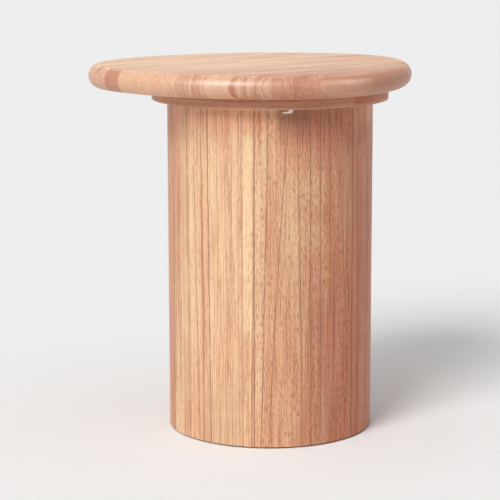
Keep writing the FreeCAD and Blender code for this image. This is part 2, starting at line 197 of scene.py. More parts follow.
# Lines in the veneer's figure: degrees from the leaf's middle, lean in mm per metre,
# bow in mm per square metre, strength, and the heights in mm between which it runs
FIGURES = (
    (
        (-29.1, -6, 0, 0.28, -50, 540),
        (-21.6, -16, 0, 0.34, 120, 540),
        (-12.5, -11, 0, 0.34, -50, 540),
        (-5.8, -22, 0, 0.36, -50, 540),
        (-1.3, -8, 0, 0.50, -50, 540),
        (3.3, -11, 0, 0.60, -50, 540),
        (9.0, -6, 0, 0.30, 180, 540),
        (14.4, -13, 0, 0.34, 90, 410),
        (17.5, -2, 0, 0.28, 180, 450),
        (23.4, -4, 0, 0.38, -50, 540),
        (29.3, 10, 0, 0.45, -50, 440),
    ),
    (
        (-24.2, 22, 0, 0.54, -50, 540),
        (-17.5, 58, 43, 0.50, -50, 540),
        (-15.0, 58, 0, 0.24, 190, 370),
        (-4.9, -19, -23, 0.52, -50, 540),
        (4.9, -85, 0, 0.24, 420, 540),
        (1.1, -4, 0, 0.54, -50, 540),
        (7.0, -4, 0, 0.52, -50, 540),
        (13.1, -8, 0, 0.58, 190, 540),
        (23.3, -73, 0, 0.24, 190, 390),
        (26.3, -79, 0, 0.22, 130, 280),
    ),
    (
        (-24.6, -4, 0, 0.30, -50, 540),
        (-19.0, -21, 0, 0.28, 120, 370),
        (-10.1, -34, 0, 0.24, -50, 400),
        (-4.4, 0, 0, 0.26, -50, 540),
        (4.0, -6, 0, 0.26, 90, 540),
        (13.0, 0, 0, 0.32, -50, 540),
        (21.0, 8, 60, 0.24, -50, 540),
    ),
)

# Places of another tone in the figure, pale, or dark where the strength is negative: degrees
# from the leaf's middle, half width and softness in mm, strength, heights and end softness in mm
GLOWS = (
    (
        (26.8, 7.0, 2.0, 0.75, 170, 448, 12),
        (6.8, 3.5, 6.5, 0.40, 330, 440, 40),
        (-7.5, 8.0, 8.0, 0.50, 150, 400, 40),
        (4.5, 4.0, 4.0, 0.40, 160, 250, 40),
        (-9.0, 8.0, 10.0, 0.25, 60, 220, 40),
        (10.0, 25.0, 12.0, -0.34, -60, 80, 45),
        (-14.5, 5.0, 7.0, -0.26, -60, 600, 40),
    ),
    (
        (-27.0, 4.0, 6.0, 0.52, 60, 400, 40),
        (-12.0, 8.0, 8.0, 0.20, 250, 380, 40),
        (0.0, 16.0, 24.0, 0.44, 290, 415, 40),
        # Painted shadow: the two dark places at the top of the front leaf, beside the clip and
        # under the sub-top
        (-8.5, 16.0, 12.0, -0.90, 448, 600, 20),
        (9.0, 24.0, 16.0, -0.42, 464, 600, 14),
        (7.5, 8.0, 12.0, 0.30, 210, 300, 40),
        (7.0, 24.0, 12.0, -0.22, 0, 215, 45),
        (27.0, 5.0, 6.0, -0.15, 320, 600, 40),
    ),
    (
        (10.0, 10.0, 12.0, 0.25, 100, 380, 40),
    ),
)

# Each leaf: which figure, mirrored or not, tone at its left and right edge, added tone low
# down at its left and right edge, which is painted light and shade towards the foot, pith across
# and below in mm, pith's lean in mm per metre, ring width in mm, strength of its flecks
LEAVES = (
    (1, 1, 0.33, 0.93, 0.0, 0.24, -6, -26, 36, 9.0, 0.95),
    (2, 1, 1.08, 0.95, 0.1, 0.10, -30, -60, 10, 7.0, 0.45),
    (0, -1, 0.30, 0.45, 0.2, 0.20, 20, -40, -20, 8.5, 0.40),
    (1, -1, 0.62, 0.35, 0.3, 0.10, -12, -30, 26, 8.0, 0.70),
    (2, -1, 0.50, 0.55, 0.2, 0.20, 34, -50, 12, 7.5, 0.30),
    (0, 1, 0.33, 0.25, -0.12, -0.08, -16, -70, 16, 8.0, 0.60),
)
# How far each leaf takes the painted light close under the sub-top, a lighter colour that lifts
# the shade there, at its left and right edge
PAINTED_LIGHT = ((0.65, -0.75), (0.3, 0.8), (0.4, 0.4), (0.4, 0.4), (0.4, 0.4), (0.85, 0.8))


def colour_property(name, description, default):
    """A colour that can be changed in the panel."""
    return bpy.props.FloatVectorProperty(
        name=name, description=description, subtype="COLOR", size=3, min=0, max=1, default=default,
    )


def angle_property(name, description, degrees):
    """An angle that can be changed in the panel."""
    return bpy.props.FloatProperty(
        name=name, description=description, subtype="ANGLE", default=math.radians(degrees),
    )


def light_property(name, description, most, default):
    """A strength of light, from none to a most, that can be changed in the panel."""
    return bpy.props.FloatProperty(
        name=name, description=description, min=0, max=most, default=default,
    )


class AccentTableWood(bpy.types.PropertyGroup):
    """Tones of the wood and the run of its grain."""

    pale: colour_property(
        "Pale Face", "Mean colour of the palest stave's flat face", (0.88, 0.585, 0.395),
    )
    dark: colour_property(
        "Dark Face", "Mean colour of the darkest stave's flat face", (0.64, 0.33, 0.20),
    )
    # The rim's colours are darker than the face's partly for end grain and partly as painted shade
    pale_rim: colour_property(
        "Pale Rim", "Mean colour of the palest stave's rounded edge", (0.72, 0.415, 0.272),
    )
    dark_rim: colour_property(
        "Dark Rim", "Mean colour of the darkest stave's rounded edge", (0.53, 0.235, 0.15),
    )
    veneer_pale: colour_property(
        "Pale Veneer", "Mean colour of the palest veneer", (0.82, 0.54, 0.325),
    )
    veneer_dark: colour_property(
        "Dark Veneer", "Mean colour of the reddest veneer", (0.592, 0.225, 0.131),
    )
    # Painted light: the lighter colour that lifts the shade close under the sub-top
    painted_light: colour_property(
        "Veneer Painted Light", "Mean colour of the veneer close under the sub-top", (0.92, 0.44, 0.275),
    )
    # Also the colour of the painted shadow at the top of the front leaf, beside the clip
    stain_and_shade: colour_property(
        "Veneer Stain and Shade", "Colour of the brown places in the veneer", (0.32, 0.145, 0.085),
    )
    glow: colour_property(
        "Veneer Glow", "Colour of the pale yellow places in the veneer", (0.92, 0.67, 0.40),
    )
    band: colour_property(
        "Edge Band", "Mean colour of the strip round the sub-top", (0.54, 0.235, 0.14),
    )
    board: colour_property(
        "Board", "Colour of the sub-top, the formers and the bare plies", (0.56, 0.40, 0.26),
    )
    grain_angle: angle_property("Grain Angle", "Run of the staves from +X towards +Y", 33)


class AccentTableStage(bpy.types.PropertyGroup):
    """Floor, lamps and camera."""

    floor: light_property("Floor Tone", "Brightness of the floor and the backdrop", 1, 0.863)
    ambient: light_property("Ambient", "Light from all round", 2, 0.12)
    key: light_property("Key Lamp", "Strength of the lamp on the left", 10, 2.18)
    overhead: light_property("Overhead Lamp", "Strength of the broad lamp above", 10, 1.35)
    gloss: light_property("Key Gloss", "Strength of the key lamp's highlight", 20, 7.3)
    key_azimuth: angle_property("Key Bearing", "How far left of the front the lamp stands", 32)
    key_elevation: angle_property("Key Height", "How high the lamp stands", 39)
    key_spread: angle_property("Key Softness", "Angle that the lamp fills", 28)
    side: light_property("Side Lamp", "Strength of the gloss from the right", 20, 3.0)
    distance: bpy.props.FloatProperty(
        name="Camera Distance", description="From the drum's axis, along the floor",
        subtype="DISTANCE", unit="LENGTH", default=2.782,
    )
    height: bpy.props.FloatProperty(
        name="Camera Height", description="Above the floor",
        subtype="DISTANCE", unit="LENGTH", default=0.7749,
    )
    pitch: angle_property("Camera Pitch", "How far the camera looks down", 10.470)
    lens: bpy.props.FloatProperty(
        name="Lens", description="Focal length for a 36 mm sensor", min=1, default=137.68,
    )
    shift: bpy.props.FloatProperty(
        name="Shift", description="Sideways shift of the picture", default=-0.0401,
    )


class Field:
    """A number, colour or place that varies over a surface. Arithmetic on it adds Math nodes."""

    def __init__(self, socket):
        self.socket = socket
        self.tree = socket.id_data

    def math(self, operation, other=0.0):
        return put(self.tree, "ShaderNodeMath", {0: self, 1: other}, operation=operation)[0]

    def __add__(self, other):
        return self.math("ADD", other)

    def __sub__(self, other):
        return self.math("SUBTRACT", other)

    def __rsub__(self, other):
        return self * -1.0 + other

    def __mul__(self, other):
        return self.math("MULTIPLY", other)

    def __truediv__(self, other):
        return self.math("DIVIDE", other)

    def ramp(self, start, end, low=0.0, high=1.0):
        """A smooth step from low to high as the value goes from start to end."""
        sockets = {"Value": self, "From Min": start, "From Max": end, "To Min": low, "To Max": high}
        return put(self.tree, "ShaderNodeMapRange", sockets, interpolation_type="SMOOTHSTEP")[0]


def fill(socket, value):
    """Links a field to a socket, or sets the socket's own value."""
    if isinstance(value, Field):
        value.tree.links.new(value.socket, socket)
    elif socket.type == "RGBA":
        socket.default_value = (*value[:3], 1)
    else:
        socket.default_value = value


def put(tree, kind, sockets, **settings):
    """Adds a node with its settings, fills its sockets, and gives its outputs in order."""
    node = tree.nodes.new(kind)
    for name, value in settings.items():
        setattr(node, name, value)
    for label, value in sockets.items():
        fill(node.inputs[label], value)
    return [Field(output) for output in node.outputs]


def blend(factor, first, second, blend_type="MIX"):
    """A colour between two colours, by a factor that varies."""
    sockets = {0: factor, 6: first, 7: second}
    return put(factor.tree, "ShaderNodeMix", sockets, data_type="RGBA", blend_type=blend_type)[2]


def combined(*parts):
    """A place from its two or three parts."""
    return put(parts[0].tree, "ShaderNodeCombineXYZ", dict(enumerate(parts)))[0]


def split(place):
    """The three parts of a place or a direction."""
    return put(place.tree, "ShaderNodeSeparateXYZ", {0: place})


def drawn_noise(place, stretch, seed, detail=2.0, roughness=0.5):
    """Noise drawn out by its scale across, along and into the wood, per metre."""
    scaled = put(place.tree, "ShaderNodeVectorMath", {0: place, 1: stretch}, operation="MULTIPLY")
    sockets = {
        "Vector": scaled[0],
        "W": seed,
        "Scale": 1.0,
        "Detail": detail,
        "Roughness": roughness,
    }
    return put(place.tree, "ShaderNodeTexNoise", sockets, noise_dimensions="4D")[0]


def new_group(name, inputs, outputs):
    """A shader node group: its inputs as fields, and its outputs' sockets to fill."""
    tree = bpy.data.node_groups.new(name, "ShaderNodeTree")
    for label, value in inputs.items():
        kind = "NodeSocketColor" if isinstance(value, tuple) else "NodeSocketFloat"
        socket = tree.interface.new_socket(name=label, in_out="INPUT", socket_type=kind)
        socket.default_value = value
    for label in outputs:
        kind = "NodeSocketColor" if label == "Colour" else "NodeSocketFloat"
        tree.interface.new_socket(name=label, in_out="OUTPUT", socket_type=kind)
    given = {socket.name: Field(socket) for socket in tree.nodes.new("NodeGroupInput").outputs}
    return tree, given, tree.nodes.new("NodeGroupOutput").inputs


def place_group(tree, name, build, **values):
    """Places a shared group, built once. A value's name is its input's, in small letters."""
    node = tree.nodes.new("ShaderNodeGroup")
    node.node_tree = bpy.data.node_groups.get(name) or build()
    for label, value in values.items():
        fill(node.inputs[label.replace("_", " ").title()], value)
    return {output.name: Field(output) for output in node.outputs}


def wood_group():
    """Rings about a leaning pith, fibres, pores and slow tone changes, from a place in the wood."""
    tree, given, result = new_group(
        "Wood Figure",
        {
            "Across": 0.0,
            "Along": 0.0,
            "Depth": 0.0,
            "Seed": 0.0,
            "Ring Width": 0.008,
            "Pith Across": 0.0,
            "Pith Depth": -0.05,
            "Pith Lean": 0.0,
            "Ripple": 0.001,
            "Early Wood": (0.7, 0.45, 0.3, 1),
            "Late Wood": (0.5, 0.28, 0.18, 1),
            "Ring Contrast": 0.5,
            "Streak Contrast": 1.0,
            "Fibre Contrast": 0.5,
            "Pore Amount": 0.5,
        },
        ("Colour", "Roughness", "Height"),
    )
    across, along, depth, seed = (given[label] for label in ("Across", "Along", "Depth", "Seed"))
    straight = combined(across, along, depth)
    shake = (drawn_noise(straight, (50, 90, 50), seed, 1.0) - 0.5) * given["Ripple"]
    place = combined(across + shake, along, depth)
    wander = drawn_noise(straight, (9, 1.6, 9), seed, 1.0) - 0.5
    off_pith = across - given["Pith Across"] - along * given["Pith Lean"] + wander * 0.03 + shake
    below = depth - given["Pith Depth"] + along * 0.025
    radius = (off_pith * off_pith + below * below).math("SQRT")
    saw = (radius / given["Ring Width"]).math("FRACT")
    patch = drawn_noise(place, (22, 1.8, 22), seed + 7.0)
    late = saw.ramp(0.45, 0.90) * saw.ramp(0.93, 1.0, 1.0, 0.0) * patch.ramp(0.35, 0.65, 0.35, 1.0)
    streak = drawn_noise(place, (170, 2.2, 170), seed + 3.0, 3.0, 0.6)
    coarse = drawn_noise(place, (620, 6, 620), seed + 5.0, 1.0, 0.6)
    fine = drawn_noise(place, (1250, 18, 1250), seed + 11.0, 1.0, 0.6)
    fibre = coarse * 0.5 + fine * 0.5
    pore = drawn_noise(place, (700, 105, 700), seed + 9.0, 1.0).ramp(0.50, 0.64)
    pit = pore * streak.ramp(0.35, 0.65, 0.55, 1.0) * given["Pore Amount"]

    tone = late * given["Ring Contrast"] + 0.25
    tone = tone + streak.ramp(0.32, 0.68, -0.37, 0.37) * given["Streak Contrast"]
    tone = tone + fibre.ramp(0.38, 0.62, -0.5, 0.5) * given["Fibre Contrast"]
    colour = blend(tone, given["Early Wood"], given["Late Wood"])
    fill(result["Colour"], blend(pit, colour, PORE_SHADE, "MULTIPLY"))
    fill(result["Roughness"], pit * 0.25 + fibre * 0.12 + LACQUER_ROUGHNESS)
    fill(result["Height"], fibre * 0.35 - pit)
    return tree


def stripe_group():
    """A mask along the grain: a line or a pale place with soft ends, leaning and wandering."""
    tree, given, result = new_group(
        "Grain Stripe",
        {
            "Across": 0.0,
            "Along": 0.0,
            "Centre": 0.0,
            "Lean": 0.0,
            "Bow": 0.0,
            "Half Width": 0.0005,
            "Softness": 0.001,
            "Low End": -1.0,
            "High End": 1.0,
            "End Softness": 0.03,
            "Wander": 0.003,
            "Jitter": 0.0012,
            "Breaks": 0.6,
            "Seed": 0.0,
        },
        ("Mask",),
    )
    along, centre, seed = given["Along"], given["Centre"], given["Seed"]
    place = combined(centre, along)
    drift = drawn_noise(place, (900, 6, 1), seed, 1.0) - 0.5
    shake = drawn_noise(place, (900, 70, 1), seed, 1.0) - 0.5
    gaps = drawn_noise(place, (900, 26, 1), seed + 4.0)
    middle = centre + along * given["Lean"] + along * along * given["Bow"]
    middle = middle + drift * given["Wander"] + shake * given["Jitter"]
    off = (given["Across"] - middle).math("ABSOLUTE")
    half, soft = given["Half Width"], given["End Softness"]
    low, high = given["Low End"], given["High End"]
    mask = off.ramp(half, half + given["Softness"], 1.0, 0.0)
    mask = mask * gaps.ramp(0.38, 0.55, 1.0 - given["Breaks"], 1.0)
    mask = mask * along.ramp(low - soft, low + soft)
    mask = mask * along.ramp(high - soft, high + soft, 1.0, 0.0)
    fill(result["Mask"], mask)
    return tree


def top_group():
    """How much the streaks darken the slab's flat face."""
    tree, given, result = new_group("Top Streaks", {"Run Out": 0.0, "Along": 0.0}, ("Shade",))
    shade = 0.0
    for number, (place, strength, low, high) in enumerate(TOP_STREAKS):
        stripe = place_group(
            tree, "Grain Stripe", stripe_group, across=given["Run Out"], along=given["Along"],
            centre=place * MM, half_width=0.0015, softness=0.005, low_end=low * MM,
            high_end=high * MM, wander=0.006, jitter=0.002, breaks=0.4, seed=number * 1.7,
        )
        shade = stripe["Mask"] * strength + shade
    fill(result["Shade"], shade)
    return tree


def new_material(name):
    """A node material, its tree, and the sockets of its surface shader."""
    material = bpy.data.materials.new(name)
    material.use_nodes = True
    tree = material.node_tree
    shader = next(node for node in tree.nodes if node.type == "BSDF_PRINCIPLED")
    return material, tree, shader.inputs


def surface(tree):
    """The place on the object and the direction that the surface faces."""
    source = tree.nodes.new("ShaderNodeTexCoord").outputs
    return Field(source["Object"]), Field(source["Normal"])


def turned_place(tree, angle, origin=(0, 0, 0)):
    """Object coordinates about an origin, turned so that the angle's bearing becomes +X."""
    spot, _ = surface(tree)
    shift = Matrix.Rotation(-angle, 4, "Z") @ -Vector(origin)
    sockets = {"Vector": spot, "Location": shift, "Rotation": (0, 0, -angle)}
    return split(put(tree, "ShaderNodeMapping", sockets)[0])


def around_axis(tree, bearing):
    """Place on the drum: distance round from a bearing, height, and radius."""
    x, y, height = turned_place(tree, math.radians(bearing), (DRUM_AXIS.x, DRUM_AXIS.y, 0))
    return y.math("ARCTAN2", x) * DRUM_RADIUS, height, (x * x + y * y).math("SQRT")


def mixed(first, second, share):
    """A colour between two colours."""
    return tuple(a + (b - a) * share for a, b in zip(first, second))


def early_of(mean):
    """The paler early wood of a wood with this mean colour."""
    return min(mean[0] * 1.10, 0.95), min(mean[1] * 1.19, 0.95), min(mean[2] * 1.20, 0.95)


def late_of(mean):
    """The darker, redder late wood of a wood with this mean colour."""
    return mean[0] * 0.84, mean[1] * 0.70, mean[2] * 0.65


def lacquer(shader, colour, figure, relief, gloss):
    """Joins a colour and a wood figure to the surface shader, under a satin lacquer."""
    sockets = {"Height": figure["Height"], "Distance": relief}
    fill(shader["Normal"], put(colour.tree, "ShaderNodeBump", sockets)[0])
    fill(shader["Base Color"], colour)
    fill(shader["Roughness"], figure["Roughness"])
    fill(shader["Specular IOR Level"], gloss)


def edge_tone(number, tone, x, y, z):
    """How dark a stave is on its rounded edge, where the grain is rubbed round the slab."""
    rubbed = combined(y.math("ARCTAN2", x) * SLAB_REACH, z)
    rubbed = drawn_noise(rubbed, (300, 9, 1), number * 1.3, 3.0, 0.7).ramp(0.36, 0.64, -0.36, 0.36)
    rubbed = rubbed * x.ramp(0.14, 0.20, 1.0, 0.3) * x.ramp(-0.12, 0.02, 0.5, 1.0)
    # Painted shade: the rim darker towards the right, where it turns from the key lamp
    return rubbed + x.ramp(-0.2, 0.2, tone - 0.15, tone + 0.45)


def face_tone(number, tone, x, run_out, along):
    """How dark a stave is on its flat face, with broad grain, streaks and a darker right side."""
    broad = drawn_noise(combined(run_out, along), (80, 0.9, 1), number * 2.1, 2.0, 0.7)
    shade = broad.ramp(0.40, 0.60, tone * 0.3 - 0.26, tone * 0.3 + 0.26)
    shade = shade + x.ramp(-0.20, -0.13, 0.12, 0.0)
    shade = shade + x.ramp(-0.05, 0.13, -0.03, 0.48) + x.ramp(0.13, 0.20, 0.0, 0.2)
    streaks = place_group(x.tree, "Top Streaks", top_group, run_out=run_out, along=along)
    return shade + streaks["Shade"]


def rim_marks(number, half, across, level):
    """The mask and the strength of each growth mark on a stave's rim."""
    for stave, share, lean, width, soft, strength, low, high in RIM_MARKS:
        if stave == number:
            mark = place_group(
                across.tree, "Grain Stripe", stripe_group, across=across, along=level,
                centre=share * half, lean=lean, bow=RIM_BOW, half_width=width * MM,
                softness=soft * MM, low_end=low * MM, high_end=high * MM, end_softness=0.002,
                wander=0.005, jitter=0.002, breaks=0.2, seed=number + share,
            )
            yield mark["Mask"], strength


def stave_material(number, wood):
    """One stave: straight long grain on top, darker rings and end grain round the rim."""
    tone, pith_across, pith_depth, ring, contrast = STAVES[number - 1]
    material, tree, shader = new_material(f"stave_{number:02d}_wood")
    spot, normal = surface(tree)
    x, y, z = split(spot)
    upward = split(normal)[2]
    along, cross, height = turned_place(tree, wood.grain_angle)
    grain = Vector((math.cos(wood.grain_angle), math.sin(wood.grain_angle), 0))
    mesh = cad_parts[f"top_stave_{number:02d}"].data
    reach = [vertex.co.y * grain.x - vertex.co.x * grain.y for vertex in mesh.vertices]
    half = (max(reach) - min(reach)) / 2
    across = cross - (min(reach) + half)
    run_out = cross - along * RUN_OUT

    # How far a place takes the rim's darker colour: the rounded edge, partly end grain and partly
    # painted shade; the front belt, painted shade; the far corner beyond the redder line
    rim = upward.ramp(0.75, 0.995, 1.0, 0.0).math("MAXIMUM", y.ramp(-0.03, -0.18, 0.0, 0.68))
    rim = rim.math("MAXIMUM", run_out.ramp((RED_EDGE - 2) * MM, (RED_EDGE + 2) * MM, 0.62, 0.0))

    on_face = face_tone(number, tone, x, run_out, along)
    on_edge = edge_tone(number, tone, x, y, z)
    early, late = (
        blend(
            rim,
            blend(on_face, part_of(wood.pale), part_of(wood.dark)),
            blend(on_edge, part_of(wood.pale_rim), part_of(wood.dark_rim)),
        )
        for part_of in (early_of, late_of)
    )
    end = put(tree, "ShaderNodeVectorMath", {0: normal, 1: grain}, operation="DOT_PRODUCT")[1]
    calm = end.math("ABSOLUTE").ramp(0.1, 0.7, 1.0, 0.35)
    calm = calm * x.ramp(0.13, 0.20, 1.0, 0.4) * rim.ramp(0.5, 1.0, 1.0, 0.55)
    figure = place_group(
        tree, "Wood Figure", wood_group, across=across, along=along, depth=height - SLAB_BOX[0].z,
        seed=number * 3.7, ring_width=ring * MM, pith_across=pith_across * MM,
        pith_depth=pith_depth * MM, pith_lean=0.02, ripple=0.0008, early_wood=early,
        late_wood=late, ring_contrast=calm * contrast, streak_contrast=calm,
        fibre_contrast=calm * 0.9, pore_amount=calm * 0.4,
    )
    colour = figure["Colour"]

    edge = mixed(wood.pale_rim, wood.dark_rim, tone)
    shadow = late_of(late_of(edge))
    level = height - (SLAB_BOX[0].z + SLAB_BOX[1].z) / 2
    for mark, strength in rim_marks(number, half, across, level):
        mark = mark * rim.ramp(0.05, 0.5, 0.0, abs(strength)) * x.ramp(0.155, 0.19, 1.0, 0.0)
        colour = blend(mark, colour, shadow if strength > 0 else early_of(early_of(edge)))
    line = place_group(
        tree, "Grain Stripe", stripe_group, across=run_out, along=along, centre=RED_EDGE * MM,
        half_width=0.003, softness=0.004, wander=0.006, jitter=0.0, breaks=0.4,
    )["Mask"]
    colour = blend(line * upward.ramp(0.8, 0.98, 0.0, 0.45), colour, shadow)
    for side, outermost in ((1, 1), (-1, len(STAVES))):
        if number != outermost:
            joint = place_group(
                tree, "Grain Stripe", stripe_group, across=across, along=along,
                centre=side * half, half_width=0.0003, softness=0.0006, wander=0.0, jitter=0.0,
                breaks=0.3,
            )["Mask"]
            colour = blend(joint * x.ramp(0.12, 0.19, 0.42, 0.15), colour, shadow)
    lacquer(shader, colour, figure, 0.00006, 0.32)
    return material


def leaf_tone(index, half, across, along):
    """How dark a leaf is: from edge to edge, low down, high up and in slow patches."""
    left, right, *foot = LEAVES[index][2:6]
    slow = drawn_noise(combined(across, along), (26, 3.5, 1), index * 3.3)
    tone = across.ramp(-half, half, left, right)
    # Painted light and shade: added tone towards the foot
    tone = tone + across.ramp(-half, half, *foot) * along.ramp(-0.04, 0.09, 1.0, 0.0)
    # Painted shade: darker, redder tone high up under the sub-top, where it is shaded and lit by
    # the reddish band
    return tone + along.ramp(0.16, 0.25, 0.0, 0.32) + slow.ramp(0.3, 0.7, -0.22, 0.22)


def leaf_marks(index, half, wood, grain):
    """A leaf's pale and dark places, then its lines and its two seams.

    Each has its place across, lean, bow, half width, softness, low and high end, end softness,
    wander, breaks, how much it covers, and its colour.
    """
    drawing, hand, left, right = LEAVES[index][:4]
    arc = math.radians(1) * DRUM_RADIUS
    line = mixed(wood.veneer_pale, wood.veneer_dark, (left + right) / 2)
    line = mixed(late_of(late_of(line)), wood.stain_and_shade, 0.75)
    for angle, width, soft, strength, low, high, fade in GLOWS[drawing]:
        shape = (0, 0, width, soft, low, high, fade, 2.0, 0.4)
        # Dark places take the stain's colour; those at the top of the front leaf are painted shadow
        paint = wood.glow if strength > 0 else wood.stain_and_shade
        yield hand * angle * arc, *shape, grain * (abs(strength) * 0.8), paint
    for angle, tilt, bow, strength, low, high in FIGURES[drawing]:
        shape = (hand * tilt, hand * bow, 0.45, 0.9, low, high, 25, 1.2, 0.35)
        yield hand * angle * arc, *shape, strength * 1.6, line
    for side in (-1, 1):
        yield side * half, 0, 0, 0.7, 0.8, -50, 540, 25, 0.0, 0.3, 0.9, line


def leaf_material(index, wood):
    """One leaf of the drum's veneer, with its own tone, figure, lines, pale places and seams."""
    *_, pith_across, pith_depth, lean, ring, flecks = LEAVES[index]
    material, tree, shader = new_material(f"veneer_leaf_{index + 1}_wood")
    across, height, _ = around_axis(tree, VENEER_SEAM + LEAF_SPAN * (index + 0.5))
    along = height - DRUM_MIDDLE
    half = math.radians(LEAF_SPAN / 2) * DRUM_RADIUS
    tone = leaf_tone(index, half, across, along)
    # Painted light close under the sub-top, where its shade falls
    painted_light = along.ramp(0.200, 0.226) * across.ramp(-half, half, *PAINTED_LIGHT[index])
    pale, dark = wood.veneer_pale, wood.veneer_dark
    early, late = (
        blend(painted_light, blend(tone, part_of(pale), part_of(dark)), part_of(wood.painted_light))
        for part_of in (early_of, late_of)
    )
    figure = place_group(
        tree, "Wood Figure", wood_group, across=across, along=along, depth=0.0,
        seed=20 + index * 5.3, ring_width=ring * MM, pith_across=pith_across * MM,
        pith_depth=pith_depth * MM, pith_lean=lean * MM, ripple=0.0006 + 0.0018 * flecks,
        early_wood=early, late_wood=late, ring_contrast=0.30, streak_contrast=0.85,
        fibre_contrast=1.4, pore_amount=flecks,
    )
    colour = figure["Colour"]
    grain = figure["Height"].ramp(-0.4, 0.3, 0.35, 1.15)
    for number, mark in enumerate(leaf_marks(index, half, wood, grain)):
        centre, tilt, bow, width, soft, low, high, fade, wander, breaks, cover, paint = mark
        mask = place_group(
            tree, "Grain Stripe", stripe_group, across=across, along=along, centre=centre,
            lean=tilt * MM, bow=bow * MM, half_width=width * MM, softness=soft * MM,
            low_end=low * MM - DRUM_MIDDLE, high_end=high * MM - DRUM_MIDDLE,
            end_softness=fade * MM, wander=wander * MM, jitter=0.0 if wander == 0 else 0.0016,
            breaks=breaks, seed=number * 1.9,
        )["Mask"]
        colour = blend(mask * cover, colour, paint)
    lacquer(shader, colour, figure, 0.00006, 0.22)
    return material


def band_material(index, wood):
    """One strip of the sub-top's edge band, its grain running round."""
    material, tree, shader = new_material(f"band_{'ab'[index]}_wood")
    along, height, _ = around_axis(tree, BAND_SEAM + BAND_SPAN * (index + 0.5))
    above = height - SUBTOP_BOX[0].z
    mean = mixed(wood.band, late_of(wood.veneer_dark), 0.75 * (1 - index))
    light = early_of(mean)
    tone = along.ramp(0.01, 0.10) * along.ramp(0.17, 0.22, 1.0, 0.0)
    figure = place_group(
        tree, "Wood Figure", wood_group, across=above, along=along, seed=61 + index * 4,
        ring_width=0.006, pith_across=0.02, pith_depth=-0.04, ripple=0.001,
        early_wood=blend(tone, early_of(light), early_of(mean)),
        late_wood=blend(tone, late_of(light), late_of(mean)),
        ring_contrast=0.4, fibre_contrast=0.6, pore_amount=0.5,
    )
    # Painted light: the band lighter along its lower edge, where light catches it
    painted_edge_light = above.ramp(0.0015, 0.0038, 0.5, 0.0)
    lacquer(shader, blend(painted_edge_light, figure["Colour"], PAINTED_EDGE_LIGHT), figure, 0.0001, 0.25)
    return material


def board_material(wood):
    """Sealed board of the sub-top and the formers, with a broad rotary-cut figure."""
    material, tree, shader = new_material("board_wood")
    along, across, depth = turned_place(tree, math.radians(12))
    figure = place_group(
        tree, "Wood Figure", wood_group, across=across, along=along, depth=depth, seed=80.0,
        ring_width=0.011, pith_across=0.04, pith_depth=-0.4, pith_lean=0.03,
        early_wood=early_of(wood.board), late_wood=late_of(wood.board),
        ring_contrast=0.6, fibre_contrast=0.5, pore_amount=0.25,
    )
    fill(shader["Base Color"], figure["Colour"])
    fill(shader["Roughness"], figure["Roughness"])
    return material


def ply_material(wood):
    """Bare plies of the drum's bent shell, seen on its edges as rings of two tones."""
    material, tree, shader = new_material("bent_ply_wood")
    round_way, height, radius = around_axis(tree, 0)
    layer = (radius / PLY_PAIR).math("FRACT")
    cross = (layer - 0.5).math("ABSOLUTE").ramp(0.22, 0.27)
    figure = place_group(
        tree, "Wood Figure", wood_group, across=round_way, along=height, depth=radius, seed=90.0,
        early_wood=early_of(wood.board), late_wood=late_of(wood.board),
        ring_contrast=0.3, fibre_contrast=0.6, pore_amount=0.3,
    )
    fill(shader["Base Color"], blend(cross, figure["Colour"], late_of(late_of(wood.board))))
    fill(shader["Roughness"], figure["Roughness"])
    return material


def felt_material():
    """Dense dark felt: matted fibres in every direction."""
    material, tree, shader = new_material("pad_felt")
    mat = drawn_noise(surface(tree)[0], (900, 900, 900), 1.0, 4.0, 0.7)
    bump = put(tree, "ShaderNodeBump", {"Height": mat, "Distance": 0.0005})
    fill(shader["Base Color"], blend(mat.ramp(0.3, 0.7), (0.035, 0.032, 0.03), (0.10, 0.095, 0.09)))
    fill(shader["Normal"], bump[0])
    fill(shader["Roughness"], 0.95)
    fill(shader["Sheen Weight"], 0.4)
    return material


def metal_material(name, colour, rough):
    """Plated steel: fine scratches and a little dulling in patches."""
    material, tree, shader = new_material(name)
    spot, _ = surface(tree)
    patch = drawn_noise(spot, (260, 260, 260), 2.0, 3.0)
    scratch = drawn_noise(spot, (3500, 240, 3500), 6.0)
    bump = put(tree, "ShaderNodeBump", {"Height": scratch, "Distance": 0.00004})
    dull = mixed(colour, (0.3, 0.3, 0.3), 0.25)
    fill(shader["Base Color"], blend(patch.ramp(0.3, 0.7), colour, dull))
    fill(shader["Roughness"], patch.ramp(0.3, 0.7, rough, rough + 0.15))
    fill(shader["Normal"], bump[0])
    fill(shader["Metallic"], 1.0)
    return material


def select_only(*objects):
    """Selects these objects alone, the last one active."""
    bpy.ops.object.select_all(action="DESELECT")
    for piece in objects:
        piece.select_set(True)
    bpy.context.view_layer.objects.active = objects[-1]


def select_faces(piece, test):
    """In edit mode, selects the faces whose centre and normal pass a test."""
    bpy.ops.mesh.select_all(action="DESELECT")
    bpy.ops.object.mode_set(mode="OBJECT")
    for face in piece.data.polygons:
        face.select = test(face.center, face.normal)
    bpy.ops.object.mode_set(mode="EDIT")


def select_corners(piece, height):
    """In edit mode, selects the upright edges of this height, which are a plate's outer corners."""
    bpy.ops.mesh.select_mode(type="EDGE")
    bpy.ops.mesh.select_all(action="DESELECT")
    bpy.ops.object.mode_set(mode="OBJECT")
    for edge in piece.data.edges:
        low, high = (piece.data.vertices[n].co for n in edge.vertices)
        rise = high - low
        edge.select = abs(abs(rise.z) - height) < TOUCHING and rise.xy.length < TOUCHING
    bpy.ops.object.mode_set(mode="EDIT")


def apply_modifiers(piece):
    """Applies every modifier of a piece."""
    select_only(piece)
    for modifier in list(piece.modifiers):
        bpy.ops.object.modifier_apply(modifier=modifier.name)


